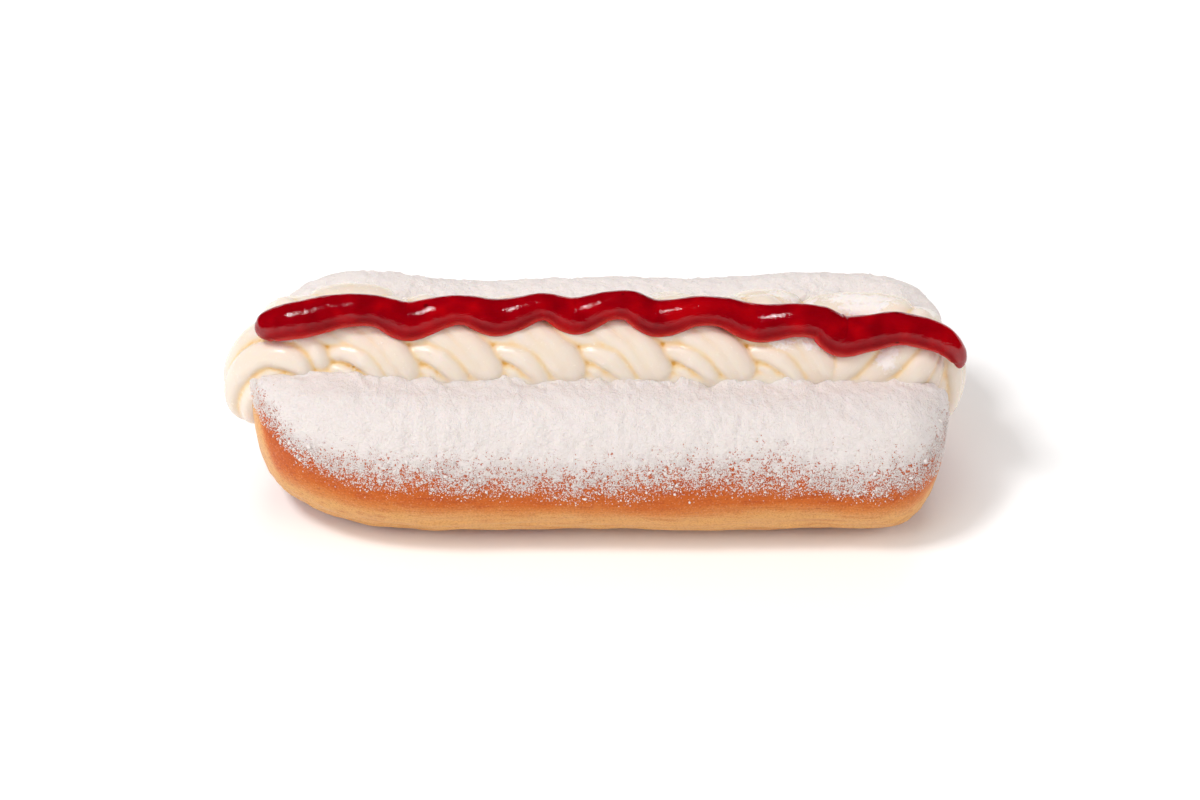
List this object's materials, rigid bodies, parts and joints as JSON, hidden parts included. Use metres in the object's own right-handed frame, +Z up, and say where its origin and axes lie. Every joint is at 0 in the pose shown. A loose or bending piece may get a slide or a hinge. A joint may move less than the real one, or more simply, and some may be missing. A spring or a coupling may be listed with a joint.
{
  "type": "cream finger bun",
  "caption": "Soft baked finger bun split along the top, filled with a piped rope of cream under a line of red jam, with the bun dusted with icing sugar.",
  "frame": {"origin": "centre of the box round the whole, at the height of the flat base", "axes": "+X along the bun, +Y towards the half that lies away from the jam, +Z up"},
  "size_m": [0.1927, 0.0756, 0.0632],
  "materials": {
    "baked_crust": "dry, thin browned crust, paler towards the base, under a dusting of icing sugar",
    "whipped_cream": "satin, slightly translucent, with the fine ridges of a star nozzle",
    "raspberry_jam": "wet, glossy and deep red"
  },
  "bodies": {
    "root": {"bun": "baked_crust", "cream": "whipped_cream", "jam": "raspberry_jam"}
  },
  "joints": []
}
